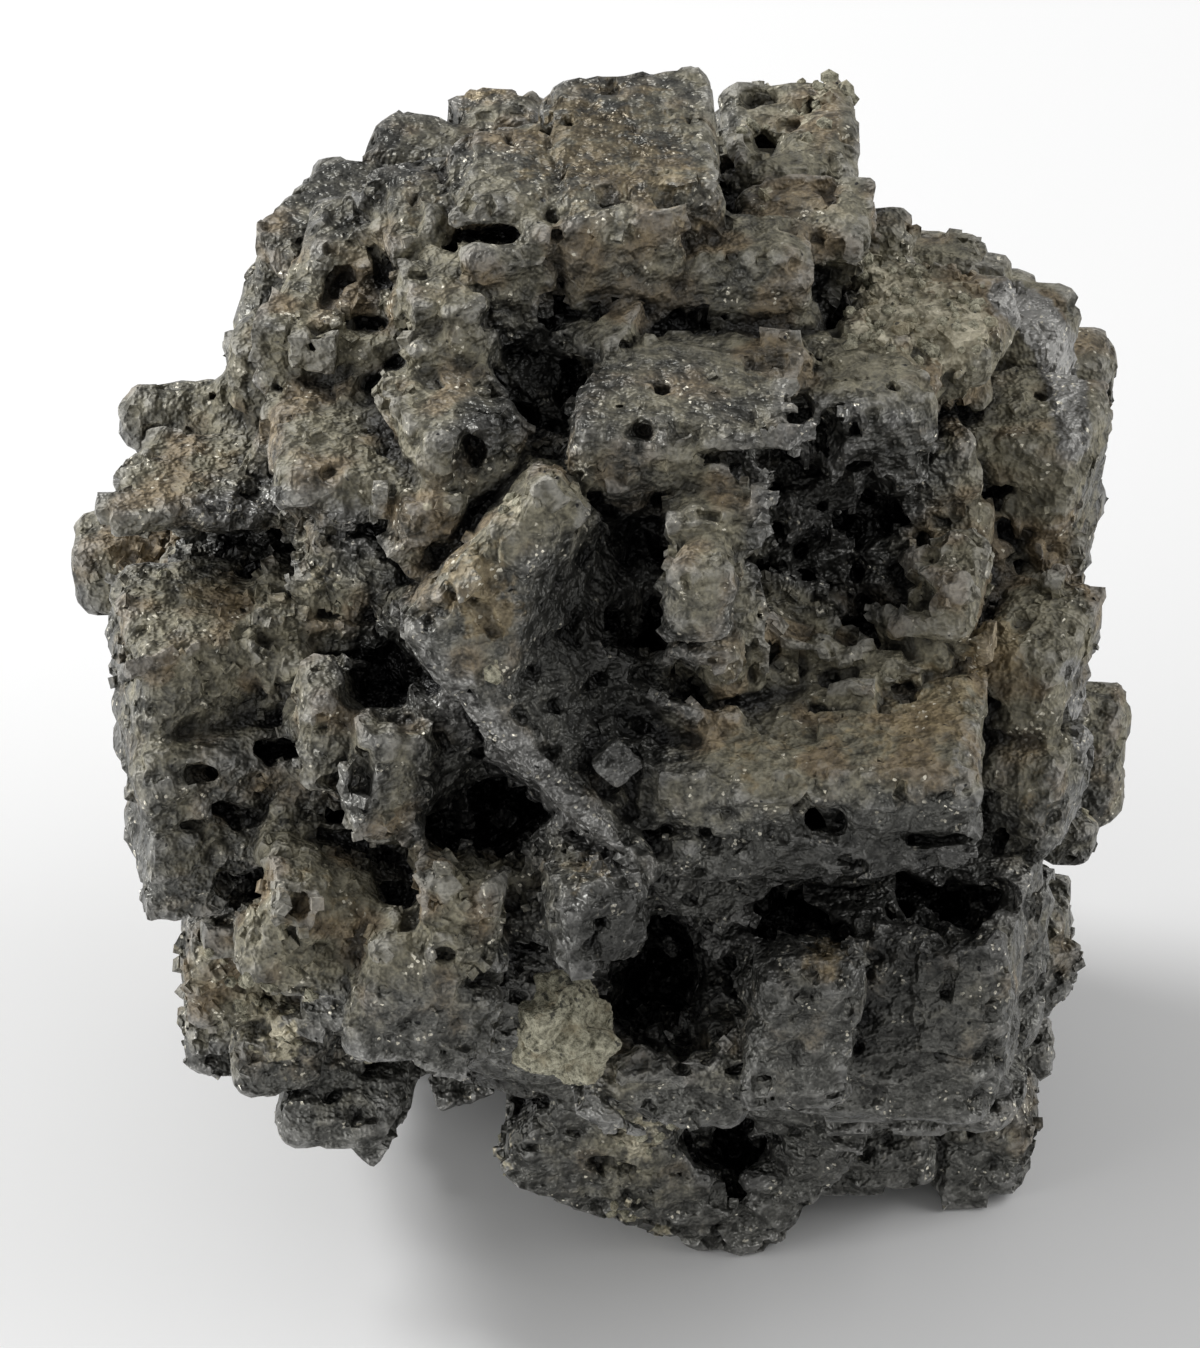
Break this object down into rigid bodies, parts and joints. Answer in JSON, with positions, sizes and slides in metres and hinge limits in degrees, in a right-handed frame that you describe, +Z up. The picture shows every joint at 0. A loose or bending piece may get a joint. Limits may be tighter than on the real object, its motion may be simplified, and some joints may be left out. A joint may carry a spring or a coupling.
{
  "type": "native arsenic specimen",
  "caption": "Ball of intergrown, pseudo-cubic native arsenic crystals, dark grey and pitted, standing on three crystal tips, with a grain of pale rock wedged in a crevice.",
  "frame": {"origin": "middle of the bounding box's base, on the surface that the specimen stands on", "axes": "+Z up, -Y towards the showing side, +X to the right as the showing side is seen"},
  "size_m": [0.0242, 0.0248, 0.0251],
  "materials": {
    "arsenic": "tarnished dark grey, dull metallic, brownish film on upward faces, small glints",
    "pale_rock": "matt, granular, cream to ochre"
  },
  "bodies": {
    "root": {"arsenic_crystals": "arsenic", "pale_rock_grain": "pale_rock"}
  },
  "joints": []
}
